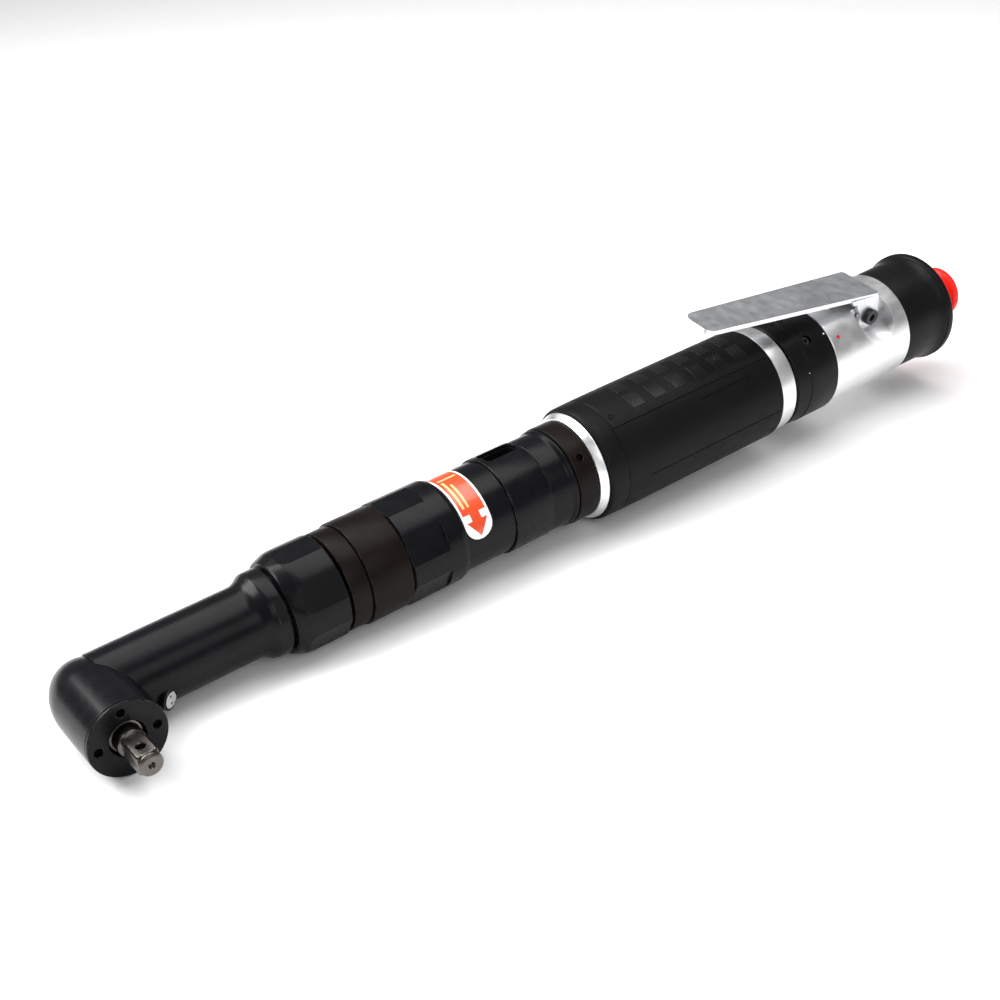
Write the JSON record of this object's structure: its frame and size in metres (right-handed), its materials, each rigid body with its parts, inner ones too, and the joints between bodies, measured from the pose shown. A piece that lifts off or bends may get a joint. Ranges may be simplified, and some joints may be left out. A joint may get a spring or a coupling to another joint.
{
  "type": "air angle nutrunner",
  "caption": "Pneumatic right-angle nutrunner with a square drive, an adjustable shut-off clutch, a rubber grip, a reversing ring and a throttle lever",
  "frame": {"origin": "centre of the retainer hole that crosses the output square, on the drive axis", "axes": "+X runs along the tool axis from the angle head to the air inlet, -Y is the way the output square points, +Z is the lever side, up when the tool lies with its drive horizontal"},
  "size_m": [0.3651, 0.0597, 0.0562],
  "materials": {
    "black_steel": "satin black oxide",
    "brown_steel": "brownish black oxide",
    "black_anodised": "satin black anodised",
    "bare_steel": "turned, bare",
    "gear_steel": "machined, oiled",
    "bearing_steel": "polished",
    "spring_steel": "drawn wire",
    "bronze": "turned",
    "bright_aluminium": "fine satin turned",
    "zinc_sheet": "bright zinc plated",
    "grip_rubber": "matte moulded",
    "vane_fibre": "laminated",
    "label_print": "glossy film",
    "plug_red": "satin moulded",
    "screw_black": "black oxide",
    "silencer_felt": "pressed felt"
  },
  "bodies": {
    "housing": {"angle_housing": "black_steel", "head_cap": "black_steel", "spindle_bearing": "bearing_steel", "spindle_bush": "bronze", "pinion_front_bearing": "bearing_steel", "pinion_rear_bearing": "bearing_steel", "bearing_spacer": "gear_steel", "grease_screw": "bearing_steel", "lock_nut": "black_steel", "spacer_ring": "brown_steel", "adapter_sleeve": "brown_steel", "output_bearing": "bearing_steel", "clutch_housing": "black_steel", "torque_label": "label_print", "rear_collar": "black_steel", "lock_ring": "brown_steel", "carrier_bearing": "bearing_steel", "ring_gear": "gear_steel", "motor_cylinder": "gear_steel", "front_end_plate": "gear_steel", "rear_end_plate": "gear_steel", "front_rotor_bearing": "bearing_steel", "rear_rotor_bearing": "bearing_steel", "motor_housing": "bright_aluminium", "rubber_grip": "grip_rubber", "valve_housing": "bright_aluminium", "lever_screw": "screw_black", "valve_seat": "bronze", "valve_spring": "spring_steel", "valve_plug": "bright_aluminium", "rear_cover": "black_anodised", "silencer": "silencer_felt", "inlet_bushing": "zinc_sheet", "inlet_screen": "bearing_steel"},
    "output_spindle": {"drive_spindle": "bare_steel", "bevel_gear": "gear_steel"},
    "driven_line": {"bevel_pinion": "gear_steel", "driven_cam": "gear_steel"},
    "driver_line": {"planet_carrier": "gear_steel", "planet_pins": "bearing_steel", "clutch_shaft": "gear_steel", "clutch_spring": "spring_steel"},
    "cam": {"sliding_cam": "gear_steel", "clutch_balls": "bearing_steel"},
    "adjuster": {"adjusting_nut": "black_steel"},
    "planet_1": {"planet_gear_1": "gear_steel"},
    "planet_2": {"planet_gear_2": "gear_steel"},
    "planet_3": {"planet_gear_3": "gear_steel"},
    "motor_rotor": {"rotor": "gear_steel", "rotor_vanes": "vane_fibre"},
    "window_sleeve": {"window_ring": "black_steel"},
    "reverser": {"reverse_ring": "black_anodised", "reverse_screw": "screw_black", "reverse_valve": "bronze"},
    "lever": {"throttle_lever": "zinc_sheet"},
    "plunger": {"valve_plunger": "bearing_steel", "throttle_ball": "bearing_steel"},
    "plug": {"dust_plug": "plug_red"}
  },
  "joints": [
    {"name": "carrier_turn", "type": "hinge", "parent": "housing", "child": "driver_line", "pos_m": [0.16, 0.0339, 0], "axis": [1, 0, 0], "continuous": true},
    {"name": "output_turn", "type": "hinge", "parent": "housing", "child": "driven_line", "pos_m": [0.06, 0.0339, 0], "axis": [1, 0, 0], "continuous": true},
    {"name": "spindle_turn", "type": "hinge", "parent": "housing", "child": "output_spindle", "pos_m": [0, 0, 0], "axis": [0, -1, 0], "continuous": true},
    {"name": "planet_1_turn", "type": "hinge", "parent": "driver_line", "child": "planet_1", "pos_m": [0.18, 0.0339, -0.00877], "axis": [1, 0, 0], "continuous": true},
    {"name": "planet_2_turn", "type": "hinge", "parent": "driver_line", "child": "planet_2", "pos_m": [0.18, 0.0415, 0.00439], "axis": [1, 0, 0], "continuous": true},
    {"name": "planet_3_turn", "type": "hinge", "parent": "driver_line", "child": "planet_3", "pos_m": [0.18, 0.0263, 0.00439], "axis": [1, 0, 0], "continuous": true},
    {"name": "rotor_turn", "type": "hinge", "parent": "housing", "child": "motor_rotor", "pos_m": [0.215, 0.0339, 0], "axis": [1, 0, 0], "continuous": true},
    {"name": "cam_slide", "type": "slide", "parent": "driver_line", "child": "cam", "axis": [1, 0, 0], "range_m": [0, 0.001], "stiffness_N_per_m": 2000, "springref_m": -0.002},
    {"name": "adjuster_turn", "type": "hinge", "parent": "driver_line", "child": "adjuster", "pos_m": [0.1428, 0.0339, 0], "axis": [1, 0, 0], "range_deg": [-180, 180]},
    {"name": "window_ring_turn", "type": "hinge", "parent": "housing", "child": "window_sleeve", "pos_m": [0.143, 0.0339, 0], "axis": [1, 0, 0], "range_deg": [0, 90]},
    {"name": "lever_press", "type": "hinge", "parent": "housing", "child": "lever", "pos_m": [0.3, 0.03129, 0.01345], "axis": [0, -0.9816, -0.1908], "range_deg": [0, 4.5], "stiffness_Nm_per_rad": 2, "springref_deg": -5.73},
    {"name": "plunger_slide", "type": "slide", "parent": "housing", "child": "plunger", "axis": [0, 0.1908, -0.9816], "range_m": [0, 0.0011]},
    {"name": "reverse_turn", "type": "hinge", "parent": "housing", "child": "reverser", "pos_m": [0.266, 0.0339, 0], "axis": [1, 0, 0], "range_deg": [0, 40]},
    {"name": "plug_pull", "type": "slide", "parent": "housing", "child": "plug", "axis": [1, 0, 0], "range_m": [0, 0.03]}
  ],
  "couplings": [
    {"joint": "output_turn", "follows": "carrier_turn", "ratio": 1},
    {"joint": "spindle_turn", "follows": "carrier_turn", "ratio": -0.66667},
    {"joint": "planet_1_turn", "follows": "carrier_turn", "ratio": -2.8},
    {"joint": "planet_2_turn", "follows": "carrier_turn", "ratio": -2.8},
    {"joint": "planet_3_turn", "follows": "carrier_turn", "ratio": -2.8},
    {"joint": "rotor_turn", "follows": "carrier_turn", "ratio": 4.5},
    {"joint": "plunger_slide", "follows": "lever_press", "m_per_rad": 0.013}
  ]
}
